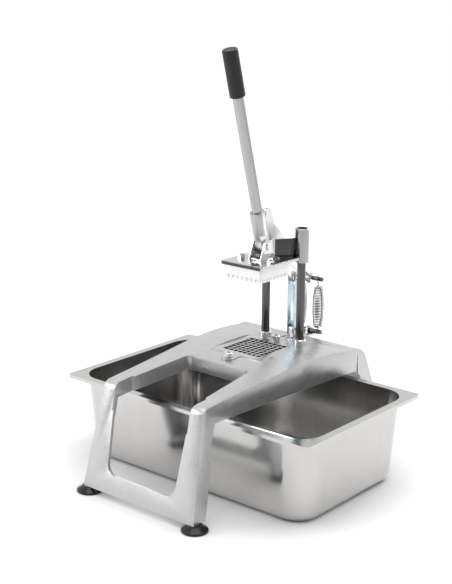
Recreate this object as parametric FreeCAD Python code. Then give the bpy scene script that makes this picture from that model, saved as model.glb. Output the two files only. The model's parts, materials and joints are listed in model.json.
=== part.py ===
import FreeCAD, Part
import math
import os

# Lever-operated french fry cutter standing over a catering pan.
# Origin on the table under the middle of the machine. +X is the operator's right,
# +Y points away from the operator and +Z is up. All sizes are millimetres.

# Frame casting
wall = 5.0
frontFootY = -263.0
rearFootY = 263.0
legBottomZ = 11.5
deckFront = (-224.0, 189.6)
deckMiddle = (-18.0, 206.7)
deckCrown = (60.0, 209.2)
deckBack = (150.0, 201.5)
rearShoulder = (199.0, 173.8)
halfWidthFrontFoot = 122.7
halfWidthFrontBend = 108.0
halfWidthMiddle = 115.5
halfWidthRearBend = 129.6
halfWidthRearFoot = 136.0
skirtZ = 160.0
legFlange = 28.0
lipDepth = 26.0
bendRadius = 14.0
leastBend = 6.0
rearRoundness = 0.72
rearJoin = 30.0
skirtSetback = 2.0
skirtBackReach = 14.0
skirtBackSlope = 0.8
footBossInward = 14.0
footBossForward = 17.0
footBossOutward = 20.0
deckPadMargin = 4.0
deckPadDepth = 14.0
columnBossWall = 3.0
columnBossDrop = 8.0
lugPadHalf = 18.0
lugPadBack = 20.0
lugPadDepth = 19.0

# Window that runs from the front panel over the bend into the deck
windowSillZ = 42.0
windowHalfSill = 74.0
windowHalfBend = 83.4
windowHalfBack = 68.0
windowBackY = -60.0
sillCorner = 20.0
backCorner = 12.0
rearWindowTopZ = 146.0

# Knife grid
gridCellPitch = 10.0
gridCells = 8
bladeThickness = 1.2
bladeHeight = 14.0
gridCentreY = 39.5
knifeFrameWall = 6.0
knifeFrameDepth = 16.0
plateThickness = 3.0
plateMargin = 9.0
plateSeatZ = 204.5
plateGap = 0.3
nutOffsetFront = 73.5
nutOffsetRear = 58.5
tabRadius = 12.0
studRadius = 4.0
nutRadius = 8.0
nutHeight = 9.0
nutChamfer = 1.2
fluteCount = 16
fluteRadius = 0.9
fluteOffset = 0.4
studBelow = 13.0
studAbove = 2.0
studGap = 0.3

# Guide columns and sliding head
columnX = 38.9
columnY = 117.5
columnRadius = 7.5
columnTopZ = 408.0
collarRadius = 11.5
collarHeight = 7.0
collarSink = 3.0
collarGap = 0.2
collarChamfer = 1.2
seatDepth = 11.0
columnChamfer = 1.0
columnScrewRadius = 4.0
columnScrewHeadRadius = 7.0
columnScrewHeadHeight = 5.0
columnScrewDrop = 22.0
columnScrewGrip = 20.0
columnThreadDepth = 24.0
runningGap = 0.05
bushWall = 1.5
sleeveRadius = 12.5
sleeveBottomZ = 354.0
sleeveTopZ = 414.6
sleeveChamfer = 0.6
bushLength = 18.0
bushInset = 6.0
lowerBushInset = 0.5
plungerBottomZ = 336.4
plungerTopZ = 360.0
plungerHalf = 41.0
plungerCorner = 2.5
pinHeight = 7.0
pinGap = 0.9
headPlateThickness = 5.5
headPlateHalf = 45.0
headPlateFrontY = -5.0
headPlateBackY = 106.0
headPlateCorner = 5.0
armSlotHalf = 9.0
armSlotFrontY = 66.0
boltX = 32.2
boltY = 37.5
domeRadius = 6.5
domeHeight = 9.0
domeHexShare = 0.5
domeRoundShare = 0.84
plungerStudDepth = 12.0
plungerStudHole = 14.0
plateBoltGap = 0.2

# Head bracket, folded from sheet
bracketSheet = 3.0
cheekInnerHalf = 11.0
cheekFootY = 34.0
cheekTopY = 46.0
cheekBackY = 72.0
wingEndX = 31.0
wingEndY = 99.0
bracketHeight = 33.0
flangeWidth = 9.0
flangeSplay = 6.3
cheekTopRound = 5.0
tabBackY = 109.5
bracketFloor = 2.0
bracketFloorGap = 6.0

# Lever
pivotY = 56.0
pivotZ = 389.0
pivotRadius = 5.0
pivotHeadRadius = 6.6
pivotHeadHeight = 2.0
hubRadius = 11.0
hubHalf = 10.0
leverLeanDeg = 15.6
socketRadius = 13.3
socketStart = 22.0
socketEnd = 63.0
socketNeckHalf = 7.0
socketNeckShare = 0.9
tubeRadius = 9.0
tubeWall = 2.0
tubeEnd = 335.0
tubeInsert = 30.0
gripRadius = 13.2
gripStart = 270.0
gripEnd = 351.0
gripEdgeRound = 2.5
webHalf = 3.5
linkEyeY = 148.0
linkEyeZ = 316.0
eyeRadius = 10.0
eyeGap = 1.0
openPivotGap = 0.4
armEndY = 199.0
armEndZ = 304.0
armEndRadius = 9.0
armEndHalf = 6.0

# Rocking link behind the columns
linkFootY = 150.0
linkFootZ = 217.0
linkHalf = 8.7
linkSheet = 1.8
linkFrontY = 142.0
linkDepth = 16.0
linkPinRadius = 4.0
linkEndReach = 9.0
lowerArchReach = 7.0
upperArchReach = 10.5
linkCorner = 7.0
linkPinHeadRadius = 5.5
linkPinHeadHeight = 1.8
lugHalf = 5.5
lugRound = 8.0
lugStripHalf = 13.5
lugBackReach = 4.0
lugBase = 40.0
lugBaseThickness = 4.0
lugSeat = 197.0
lugScrewLength = 16.0
lugScrewHeadRadius = 4.9
lugScrewGap = 0.3

# Return springs and their crossbars
springX = 19.0
springMeanRadius = 7.3
springWire = 1.9
springPitch = 2.9
crossbarRadius = 4.0
crossbarHalf = 27.0
grooveDepth = 1.0
grooveHalf = 1.6
ringRadius = 4.9
ringNeck = 2.4
hookRadius = 6.5
hookTipDeg = 4.0
hookShank = 5.0
hookSeatGap = 0.3
lowerBarZ = 204.0
earThickness = 5.0
earHalfWidth = 8.0
earBackTrim = 4.5
earRound = 8.0

# Feet
footInset = 5.3
footForward = 254.0
footDiscRadius = 22.0
footDiscHeight = 4.0
footConeTopZ = 9.5
footNeckRadius = 12.0
footEdgeRound = 1.2
footScrewSeat = 4.0
screwRadius = 3.0
screwHeadHeight = 3.0
screwTipGap = 2.0
socketDepthShare = 0.6
socketWidthShare = 0.8
bossHeight = 14.0

# Pan, a standard full-size catering pan
panLength = 530.0
panWidth = 325.0
panHeight = 150.0
panSheet = 1.2
panRim = 13.0
panRimDrop = 6.0
panWallTaper = 10.0
panCorner = 45.0
panRimCorner = 8.0
panFloorRound = 18.0

# Clearance between parts that move past each other
freeGap = 0.5
turnGap = 0.1

# How far cutting tools run past what they cut
spare = 20.0
# How far a cutting shape or a search height runs past the face it belongs to
runPast = 1.0
# How far the deck pad reaches behind the rear tab, and the wing flange laps over the cheek
bossBack = 1.5
flangeLap = 4.0
far = 400.0

V = FreeCAD.Vector
xAxis = V(1, 0, 0)
yAxis = V(0, 1, 0)
zAxis = V(0, 0, 1)

gridHalf = gridCells * gridCellPitch / 2.0 + bladeThickness / 2.0
deckCentreZ = deckCrown[1]
plateTopZ = plateSeatZ + plateThickness
bladeTopZ = plateTopZ - 0.5
sleeveLength = sleeveTopZ - sleeveBottomZ
headPlateTopZ = plungerTopZ + headPlateThickness
lean = math.radians(leverLeanDeg)
leverUp = V(0, -math.sin(lean), math.cos(lean))
pivot = V(0, pivotY, pivotZ)


# Solids from plain dimensions
def box(x0, x1, y0, y1, z0, z1):
    return Part.makeBox(x1 - x0, y1 - y0, z1 - z0, V(x0, y0, z0))


def rod(start, direction, length, radius):
    return Part.makeCylinder(radius, length, start, direction)


def tube(start, direction, length, outer, inner):
    return rod(start, direction, length, outer).cut(rod(start, direction, length, inner))


def acrossX(y, z, halfLength, radius):
    return rod(V(-halfLength, y, z), xAxis, 2 * halfLength, radius)


def mirrored(shape):
    return shape.mirror(V(0, 0, 0), xAxis)


def extrudedWire(edges, vector):
    return Part.Face(Part.Wire(edges)).extrude(vector)


def polygonSolid(points, vector):
    return Part.Face(Part.makePolygon(points + [points[0]])).extrude(vector)


# Polygon whose corners are rounded by tangent arcs, one radius per corner
def roundedEdges(points, radii):
    edges = []
    starts = []
    ends = []
    mids = []
    count = len(points)
    for index in range(count):
        corner = points[index]
        before = points[index - 1] - corner
        after = points[(index + 1) % count] - corner
        radius = radii[index]
        if radius <= 0:
            starts.append(corner)
            ends.append(corner)
            mids.append(None)
            continue
        before.normalize()
        after.normalize()
        halfAngle = before.getAngle(after) / 2.0
        reach = radius / math.tan(halfAngle)
        middle = before + after
        middle.normalize()
        centre = corner + middle * (radius / math.sin(halfAngle))
        starts.append(corner + before * reach)
        ends.append(corner + after * reach)
        mids.append(centre - middle * radius)
    for index in range(count):
        following = (index + 1) % count
        if mids[index] is not None:
            edges.append(Part.Arc(starts[index], mids[index], ends[index]).toShape())
        if ends[index].distanceToPoint(starts[following]) > 0.001:
            edges.append(Part.LineSegment(ends[index], starts[following]).toShape())
    return edges


def roundedSolid(points, radii, vector):
    return extrudedWire(roundedEdges(points, radii), vector)


def inYZ(points, halfWidth):
    return [V(-halfWidth, y, z) for y, z in points]


# Outer outline of the frame seen from the side, set in by a given depth
def frameSideSolid(depth, halfWidth):
    rearLean = (rearFootY - rearShoulder[0]) / (rearShoulder[1] - legBottomZ)
    bottom = legBottomZ - (1.0 if depth else 0.0)
    frontBottom = V(-halfWidth, frontFootY + depth, bottom)
    frontTop = V(-halfWidth, deckFront[0] + depth, deckFront[1] - depth)
    middle = V(-halfWidth, deckMiddle[0], deckMiddle[1] - depth)
    crown = V(-halfWidth, deckCrown[0], deckCrown[1] - depth)
    back = V(-halfWidth, deckBack[0], deckBack[1] - depth)
    shoulder = V(-halfWidth, rearShoulder[0] - depth, rearShoulder[1] - depth * rearLean)
    rearBottom = V(-halfWidth, rearFootY - depth, bottom)
    bend = max(bendRadius - depth, leastBend)
    toFoot = frontBottom - frontTop
    toDeck = middle - frontTop
    toFoot.normalize()
    toDeck.normalize()
    halfAngle = toFoot.getAngle(toDeck) / 2.0
    reach = bend / math.tan(halfAngle)
    inward = toFoot + toDeck
    inward.normalize()
    bendMid = frontTop + inward * (bend / math.sin(halfAngle) - bend)
    bendStart = frontTop + toFoot * reach
    bendEnd = frontTop + toDeck * reach
    corner = V(-halfWidth, back.y + (shoulder.y - back.y) * rearRoundness,
               back.z - (back.z - shoulder.z) * (1.0 - rearRoundness))
    edges = [
        Part.LineSegment(frontBottom, bendStart).toShape(),
        Part.Arc(bendStart, bendMid, bendEnd).toShape(),
        Part.LineSegment(bendEnd, middle).toShape(),
        Part.Arc(middle, crown, back).toShape(),
        Part.Arc(back, corner, shoulder).toShape(),
        Part.LineSegment(shoulder, rearBottom).toShape(),
        Part.LineSegment(rearBottom, frontBottom).toShape(),
    ]
    return extrudedWire(edges, xAxis * (2 * halfWidth))


# Space between the two side faces of the frame, narrowed by an inset
def frameWidthSolid(inset):
    low = legBottomZ - spare
    high = deckCentreZ + spare
    frontLow = halfWidthFrontFoot - inset
    frontHigh = halfWidthFrontBend - inset
    rearLow = halfWidthRearFoot - inset
    rearHigh = halfWidthRearBend - inset
    middle = halfWidthMiddle - inset
    joinFront = deckFront[0]
    joinRear = deckBack[0] + rearJoin
    overlap = spare / 2.0
    frontSlope = (frontLow - frontHigh) / (deckFront[1] - legBottomZ)
    rearSlope = (rearLow - rearHigh) / (rearShoulder[1] - legBottomZ)
    frontBottomHalf = frontLow + frontSlope * (legBottomZ - low)
    frontTopHalf = frontHigh - frontSlope * (high - deckFront[1])
    front = polygonSolid(
        [V(-frontBottomHalf, -far, low), V(frontBottomHalf, -far, low),
         V(frontTopHalf, -far, high), V(-frontTopHalf, -far, high)],
        yAxis * (far + joinFront + overlap))
    rearBottomHalf = rearLow + rearSlope * (legBottomZ - low)
    rearTopHalf = rearHigh - rearSlope * (high - rearShoulder[1])
    rear = polygonSolid(
        [V(-rearBottomHalf, joinRear - overlap, low), V(rearBottomHalf, joinRear - overlap, low),
         V(rearTopHalf, joinRear - overlap, high), V(-rearTopHalf, joinRear - overlap, high)],
        yAxis * far)
    right = Part.Arc(V(frontHigh, joinFront, low), V(middle, deckMiddle[0], low), V(rearHigh, joinRear, low))
    left = Part.Arc(V(-rearHigh, joinRear, low), V(-middle, deckMiddle[0], low), V(-frontHigh, joinFront, low))
    deckEdges = [
        right.toShape(),
        Part.LineSegment(V(rearHigh, joinRear, low), V(-rearHigh, joinRear, low)).toShape(),
        left.toShape(),
        Part.LineSegment(V(-frontHigh, joinFront, low), V(frontHigh, joinFront, low)).toShape(),
    ]
    deck = extrudedWire(deckEdges, zAxis * (high - low))
    return front, deck, rear


# Window prisms: front panel, deck and rear panel, grown by a lip
def windowSolids(grow):
    slope = (windowHalfBend - windowHalfSill) / (deckFront[1] - windowSillZ)
    topZ = deckFront[1] + leastBend
    sill = windowSillZ - grow
    topHalf = windowHalfSill + slope * (topZ - windowSillZ) + grow
    front = roundedSolid(
        [V(-windowHalfSill - grow, -far, sill), V(windowHalfSill + grow, -far, sill),
         V(topHalf, -far, topZ), V(-topHalf, -far, topZ)],
        [sillCorner + grow, sillCorner + grow, 0, 0], yAxis * (far + deckFront[0] + lipDepth + bendRadius))
    backY = windowBackY + grow
    bendHalf = windowHalfBend + grow
    backHalf = windowHalfBack + grow
    deckFrontY = deckFront[0] - bendRadius
    lowZ = skirtZ - bendRadius
    deck = roundedSolid(
        [V(-bendHalf, deckFrontY, lowZ), V(bendHalf, deckFrontY, lowZ),
         V(backHalf, backY, lowZ), V(-backHalf, backY, lowZ)],
        [0, 0, backCorner + grow, backCorner + grow], zAxis * (deckCentreZ + spare - lowZ))
    rear = roundedSolid(
        [V(-windowHalfSill - grow, rearShoulder[0], sill), V(windowHalfSill + grow, rearShoulder[0], sill),
         V(windowHalfSill + grow, rearShoulder[0], rearWindowTopZ + grow),
         V(-windowHalfSill - grow, rearShoulder[0], rearWindowTopZ + grow)],
        [sillCorner + grow] * 4, yAxis * far)
    return front, deck, rear


# Lip that hangs from the deck round its part of the window, the front panel being plain
def deckLip(wide):
    frontY = deckFront[0] - spare
    backY = deckMiddle[0]
    high = deckMiddle[1] + spare
    space = polygonSolid(
        inYZ([(frontY, deckFront[1] - lipDepth), (backY, deckMiddle[1] - lipDepth), (backY, high),
              (frontY, high)], wide), xAxis * (2 * wide))
    return windowSolids(wall)[1].common(space)


# One casting: a bent channel with skirts, window, bosses and seats
def frameCasting():
    wide = far / 2.0
    outerSide = frameSideSolid(0.0, wide)
    innerSide = frameSideSolid(wall, wide)
    flangeSide = frameSideSolid(legFlange, wide)
    front, deck, rear = frameWidthSolid(0.0)
    outer = outerSide.common(front.fuse(deck).fuse(rear).removeSplitter())
    innerFront, innerDeck, innerRear = frameWidthSolid(wall)
    inner = innerSide.common(innerFront.fuse(innerDeck).fuse(innerRear).removeSplitter())
    skirtCut = polygonSolid(
        inYZ([(deckFront[0] + skirtSetback, skirtZ), (deckBack[0] + skirtBackReach, skirtZ),
              (deckBack[0] + skirtBackReach + far, skirtZ - skirtBackSlope * far), (2 * far, -far),
              (-far, -far), (-far, legBottomZ)], wide), xAxis * (2 * wide))
    underside = flangeSide.common(skirtCut)
    shell = outer.cut(inner).cut(underside)
    windows = windowSolids(0.0)
    shell = shell.fuse(outer.common(deckLip(wide)))
    shell = shell.fuse(footBosses().common(outer))
    shell = shell.fuse(deckBosses().common(outer))
    for window in windows:
        shell = shell.cut(window)
    shell = shell.cut(knifeSeat())
    shell = shell.cut(fixingHoles())
    return shell.removeSplitter()


def footPlaces():
    frontX = halfWidthFrontFoot - footInset
    rearX = halfWidthRearFoot - footInset
    return {
        "front_left": (-frontX, -footForward),
        "front_right": (frontX, -footForward),
        "rear_left": (-rearX, footForward),
        "rear_right": (rearX, footForward),
    }


# Solid ends of the four legs that take the foot screws
def footBosses():
    bosses = None
    for x, y in footPlaces().values():
        inward = -1.0 if x > 0 else 1.0
        toward = 1.0 if y < 0 else -1.0
        x0, x1 = sorted((x + inward * footBossInward, x - inward * footBossOutward))
        y0, y1 = sorted((y + toward * footBossForward, y - toward * footBossOutward))
        boss = box(x0, x1, y0, y1, legBottomZ, legBottomZ + bossHeight)
        bosses = boss if bosses is None else bosses.fuse(boss)
    return bosses


def plateHalfX():
    return gridHalf + knifeFrameWall + plateMargin


def studPlaces():
    return {"front": gridCentreY - nutOffsetFront, "rear": gridCentreY + nutOffsetRear}


# Thickened deck under the knife plate, the columns, the link lug and the spring ear
def deckBosses():
    half = plateHalfX() + deckPadMargin
    frontY = studPlaces()["front"] - tabRadius - deckPadMargin
    rearY = studPlaces()["rear"] + tabRadius - deckPadMargin + bossBack
    under = plateSeatZ - deckPadDepth
    high = deckCentreZ + spare
    pad = box(-half, half, frontY, rearY, under, high)
    for side in (-1, 1):
        boss = V(side * columnX, columnY, under - columnBossDrop)
        pad = pad.fuse(rod(boss, zAxis, high - boss.z, collarRadius + columnBossWall))
    backY = linkFootY + lugBase / 2 + lugPadBack
    return pad.fuse(box(-lugPadHalf, lugPadHalf, linkFootY - lugBase / 2, backY, lugSeat - lugPadDepth, high))


# Recess that the knife plate drops into, with the opening under the blades
def knifeSeat():
    opening = gridHalf + knifeFrameWall + freeGap
    high = deckCentreZ + spare
    through = box(-opening, opening, gridCentreY - opening, gridCentreY + opening, skirtZ - spare, high)
    return through.fuse(platePlan(plateGap, plateSeatZ, high))


# Plan outline of the knife plate: a square with a round tab front and rear
def platePlan(grow, z0, z1):
    half = plateHalfX() + grow
    square = box(-half, half, gridCentreY - half, gridCentreY + half, z0, z1)
    for y in studPlaces().values():
        inner, outer = sorted((gridCentreY, y))
        tab = rod(V(0, y, z0), zAxis, z1 - z0, tabRadius + grow)
        neck = box(-tabRadius - grow, tabRadius + grow, inner, outer, z0, z1)
        square = square.fuse(tab).fuse(neck)
    return square.removeSplitter()


def fixingHoles():
    holes = None
    tools = []
    for x, y in footPlaces().values():
        tools.append(rod(V(x, y, legBottomZ - 1), zAxis, bossHeight + 5, screwRadius))
    for y in studPlaces().values():
        tools.append(rod(V(0, y, plateSeatZ - 2 * spare), zAxis, 3 * spare, studRadius))
    for side in (-1, 1):
        x = side * columnX
        tools.append(rod(V(x, columnY, plateSeatZ - 2 * spare), zAxis, 2 * spare, columnScrewRadius))
        tools.append(rod(V(x, columnY, columnFootZ()), zAxis, 3 * spare, columnRadius))
        tools.append(rod(V(x, columnY, collarSeatZ()), zAxis, 3 * spare, collarRadius + collarGap))
    tools.append(box(-lugStripHalf - freeGap, lugStripHalf + freeGap, linkFootY - lugBase / 2, earBackY(),
                     lugSeat, lugSeat + 2 * spare))
    for y in lugScrewPlaces():
        tools.append(rod(V(0, y, lugSeat - 2 * spare), zAxis, 3 * spare, screwRadius))
    for tool in tools:
        holes = tool if holes is None else holes.fuse(tool)
    return holes


def columnFootZ():
    return collarSeatZ() - seatDepth


def collarSeatZ():
    return deckCentreZ - collarSink


def earBackY():
    return armEndY + lugBackReach


def lugScrewPlaces():
    away = lugRound + lugScrewGap + lugScrewHeadRadius
    return (linkFootY - away, linkFootY + away)


def screw(x, y, headZ, length, radius, headRadius, headHeight, upward):
    direction = zAxis if upward else -zAxis
    shank = rod(V(x, y, headZ), direction, length, radius)
    head = rod(V(x, y, headZ), -direction, headHeight, headRadius)
    depth = headHeight * socketDepthShare
    socket = rod(V(x, y, headZ) - direction * headHeight, direction, depth, radius * socketWidthShare)
    return shank.fuse(head).cut(socket)


# Rubber foot with a flat rim, a sloping top and a recessed screw that goes up into the leg
def foot(x, y):
    disc = rod(V(x, y, 0), zAxis, footDiscHeight, footDiscRadius)
    disc = disc.makeFillet(footEdgeRound, [edge for edge in disc.Edges if isinstance(edge.Curve, Part.Circle)])
    neck = rod(V(x, y, footEdgeRound), zAxis, legBottomZ - footEdgeRound, footNeckRadius)
    coneHeight = footConeTopZ - footDiscHeight
    cone = Part.makeCone(footDiscRadius - footEdgeRound, footNeckRadius, coneHeight, V(x, y, footDiscHeight), zAxis)
    body = disc.fuse(cone).fuse(neck).removeSplitter()
    body = body.cut(rod(V(x, y, 0), zAxis, footScrewSeat, 2 * screwRadius + collarGap))
    return body.cut(rod(V(x, y, 0), zAxis, legBottomZ + runPast, screwRadius))


def footScrew(x, y):
    length = legBottomZ + bossHeight - screwTipGap - footScrewSeat
    return screw(x, y, footScrewSeat, length, screwRadius, 2 * screwRadius, screwHeadHeight, True)


# Knife plate with the open frame that carries the blades
def knifeFrame():
    outer = gridHalf + knifeFrameWall
    ring = box(-outer, outer, gridCentreY - outer, gridCentreY + outer, plateTopZ - knifeFrameDepth, plateTopZ)
    body = platePlan(0.0, plateSeatZ, plateTopZ).fuse(ring).removeSplitter()
    body = body.cut(box(-gridHalf, gridHalf, gridCentreY - gridHalf, gridCentreY + gridHalf,
                        plateSeatZ - 2 * spare, plateTopZ + spare))
    for y in studPlaces().values():
        body = body.cut(rod(V(0, y, plateSeatZ - spare), zAxis, 2 * spare, studRadius + studGap))
    for blade in bladeBlanks(0.0):
        body = body.cut(blade)
    return body.removeSplitter()


# Full-height blade blanks in both directions, let into the frame by part of its wall
def bladeBlanks(gap):
    reach = gridHalf + knifeFrameWall / 2.0
    bottom = bladeTopZ - bladeHeight
    blades = []
    for index in range(1, gridCells):
        place = (index - gridCells / 2.0) * gridCellPitch
        half = bladeThickness / 2.0 + gap
        blades.append(box(place - half, place + half, gridCentreY - reach, gridCentreY + reach, bottom, bladeTopZ))
        y = gridCentreY + place
        blades.append(box(-reach, reach, y - half, y + half, bottom, bladeTopZ))
    return blades


# Half-lapped blades: one set notched from below, the other from above
def bladeSet(alongY):
    blades = bladeBlanks(0.0)[0 if alongY else 1::2]
    others = bladeBlanks(0.0)[1 if alongY else 0::2]
    middle = bladeTopZ - bladeHeight / 2.0
    low = bladeTopZ - bladeHeight - 1
    keep = (low, middle) if alongY else (middle, bladeTopZ + runPast)
    notch = None
    for other in others:
        bounds = other.BoundBox
        slot = box(bounds.XMin, bounds.XMax, bounds.YMin, bounds.YMax, keep[0], keep[1])
        notch = slot if notch is None else notch.fuse(slot)
    return Part.makeCompound([blade.cut(notch) for blade in blades])


def stud(y):
    length = studBelow + plateThickness + turnGap + nutHeight + studAbove
    return rod(V(0, y, plateSeatZ - studBelow), zAxis, length, studRadius)


# Round edges of a turned part that lie above a height
def circleEdgesAbove(shape, z):
    return [edge for edge in shape.Edges if isinstance(edge.Curve, Part.Circle) and edge.BoundBox.ZMin > z]


# Knurled hand nut with a chamfered top
def handNut(y):
    nut = rod(V(0, y, plateTopZ + turnGap), zAxis, nutHeight, nutRadius)
    nut = nut.makeChamfer(nutChamfer, circleEdgesAbove(nut, plateTopZ + runPast))
    fluteRing = nutRadius + fluteOffset
    for index in range(fluteCount):
        turn = 2 * math.pi * index / fluteCount
        centre = V(math.cos(turn) * fluteRing, y + math.sin(turn) * fluteRing, plateTopZ - 1)
        nut = nut.cut(rod(centre, zAxis, nutHeight + 2, fluteRadius))
    return nut.cut(rod(V(0, y, plateTopZ), zAxis, nutHeight + runPast, studRadius + runningGap))


def column(side):
    x = side * columnX
    length = columnTopZ - columnFootZ()
    post = rod(V(x, columnY, columnFootZ()), zAxis, length, columnRadius)
    post = post.makeChamfer(columnChamfer, circleEdgesAbove(post, columnTopZ - 1))
    return post.cut(rod(V(x, columnY, columnFootZ()), zAxis, columnThreadDepth, columnScrewRadius))


def collar(side):
    base = V(side * columnX, columnY, collarSeatZ())
    ring = tube(base, zAxis, collarHeight, collarRadius, columnRadius)
    rims = [edge for edge in circleEdgesAbove(ring, base.z + runPast) if edge.Curve.Radius > columnRadius + runPast]
    return ring.makeChamfer(collarChamfer, rims)


def columnScrew(side):
    head = plateSeatZ - columnScrewDrop
    length = columnFootZ() - head + columnScrewGrip
    return screw(side * columnX, columnY, head, length, columnScrewRadius, columnScrewHeadRadius,
                 columnScrewHeadHeight, True)


# Sleeve that slides on a column, hollow at its top
def sleeve(side):
    x = side * columnX
    body = rod(V(x, columnY, sleeveBottomZ), zAxis, sleeveLength, sleeveRadius)
    body = body.makeChamfer(sleeveChamfer, [edge for edge in body.Edges if isinstance(edge.Curve, Part.Circle)])
    bore = columnRadius + runningGap + bushWall
    return body.cut(rod(V(x, columnY, sleeveBottomZ - 1), zAxis, sleeveLength + 2, bore))


def bushes():
    rings = []
    for side in (-1, 1):
        for z in (sleeveBottomZ + lowerBushInset, columnTopZ - bushInset - bushLength):
            base = V(side * columnX, columnY, z)
            rings.append(tube(base, zAxis, bushLength, columnRadius + runningGap + bushWall,
                              columnRadius + runningGap))
    return Part.makeCompound(rings)


# Food-safe plastic plunger with a square pin for each cell of the grid
def plungerBlock():
    solidBottom = plungerBottomZ + pinHeight
    block = box(-plungerHalf, plungerHalf, gridCentreY - plungerHalf, gridCentreY + plungerHalf,
                solidBottom, plungerTopZ)
    block = block.makeFillet(plungerCorner, [edge for edge in block.Edges if edge.BoundBox.ZLength > 5])
    pinHalf = gridCellPitch / 2.0 - pinGap
    for file in range(gridCells):
        for row in range(gridCells):
            x = (file - (gridCells - 1) / 2.0) * gridCellPitch
            y = gridCentreY + (row - (gridCells - 1) / 2.0) * gridCellPitch
            block = block.fuse(box(x - pinHalf, x + pinHalf, y - pinHalf, y + pinHalf, plungerBottomZ,
                                   solidBottom + runPast))
    block = block.removeSplitter()
    for side in (-1, 1):
        block = block.cut(rod(V(side * boltX, boltY, plungerTopZ - plungerStudHole), zAxis, spare, screwRadius))
    return block


# Polished plate over the plunger, slotted at the back for the lever arm
def headPlate():
    corners = [V(-headPlateHalf, headPlateFrontY, plungerTopZ), V(headPlateHalf, headPlateFrontY, plungerTopZ),
               V(headPlateHalf, headPlateBackY, plungerTopZ), V(-headPlateHalf, headPlateBackY, plungerTopZ)]
    plate = roundedSolid(corners, [headPlateCorner] * 4, zAxis * headPlateThickness)
    plate = plate.cut(box(-armSlotHalf, armSlotHalf, armSlotFrontY, headPlateBackY + runPast, plungerTopZ - runPast,
                          headPlateTopZ + runPast))
    for side in (-1, 1):
        plate = plate.cut(rod(V(side * columnX, columnY, plungerTopZ - 1), zAxis, spare, sleeveRadius))
        plate = plate.cut(rod(V(side * boltX, boltY, plungerTopZ - 1), zAxis, spare, screwRadius + plateBoltGap))
    return plate


def domeNut(x):
    base = V(x, boltY, headPlateTopZ)
    hexagon = [base + V(math.cos(math.pi * k / 3) * domeRadius, math.sin(math.pi * k / 3) * domeRadius, 0)
               for k in range(6)]
    hexHeight = domeHeight * domeHexShare
    body = polygonSolid(hexagon, zAxis * hexHeight)
    cap = Part.makeSphere(domeRadius * domeRoundShare, base + zAxis * (hexHeight - plateBoltGap))
    cap = cap.common(rod(base, zAxis, domeHeight + spare, domeRadius))
    bore = rod(base - zAxis, zAxis, 1 + hexHeight + freeGap, screwRadius)
    return body.fuse(cap).removeSplitter().cut(bore)


def plungerStud(x):
    length = plungerStudDepth + headPlateThickness + domeHeight * domeHexShare
    return rod(V(x, boltY, plungerTopZ - plungerStudDepth), zAxis, length, screwRadius)


# Folded bracket: two cheeks for the pivot, wings out to the sleeves and a foot on the plate
def headBracket():
    base = headPlateTopZ
    top = base + bracketHeight
    outerX = cheekInnerHalf + bracketSheet
    cheek = [(cheekFootY, base), (cheekBackY, base), (cheekBackY, top), (cheekTopY, top)]
    rightCheek = roundedSolid([V(cheekInnerHalf, y, z) for y, z in cheek], [0, 0, 0, cheekTopRound],
                              xAxis * bracketSheet)
    wingRun = V(wingEndX - cheekInnerHalf, wingEndY - cheekBackY, 0)
    wingRun.normalize()
    across = V(wingRun.y, -wingRun.x, 0) * bracketSheet
    start = V(cheekInnerHalf, cheekBackY, base)
    end = V(wingEndX, wingEndY, base)
    wing = polygonSolid([start, end, end + across, V(outerX, cheekBackY - runPast, base)], zAxis * bracketHeight)
    tab = box(wingEndX, wingEndX + bracketSheet, wingEndY - bracketSheet, tabBackY, base, top)
    footStrip = polygonSolid(
        [V(outerX, cheekBackY - flangeLap, base), start + across, end + across,
         end + across + V(flangeSplay, -flangeSplay, 0), V(outerX + flangeWidth, cheekBackY - flangeLap, base)],
        zAxis * bracketSheet)
    side = rightCheek.fuse(wing).fuse(tab).fuse(footStrip).removeSplitter()
    both = side.fuse(mirrored(side))
    floorPlate = box(-cheekInnerHalf, cheekInnerHalf, cheekFootY + bracketSheet,
                     armSlotFrontY - bracketFloorGap, base, base + bracketFloor)
    both = both.fuse(floorPlate)
    for edge in (-1, 1):
        both = both.cut(rod(V(edge * columnX, columnY, base - 1), zAxis, bracketHeight + 2, sleeveRadius))
    return both.cut(acrossX(pivotY, pivotZ, 2 * spare, pivotRadius)).removeSplitter()


def pivotPin():
    half = cheekInnerHalf + bracketSheet
    pin = acrossX(pivotY, pivotZ, half, pivotRadius)
    for side in (-1, 1):
        start = V(side * half, pivotY, pivotZ)
        pin = pin.fuse(rod(start, xAxis * side, pivotHeadHeight, pivotHeadRadius))
    return pin.removeSplitter()


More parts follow.
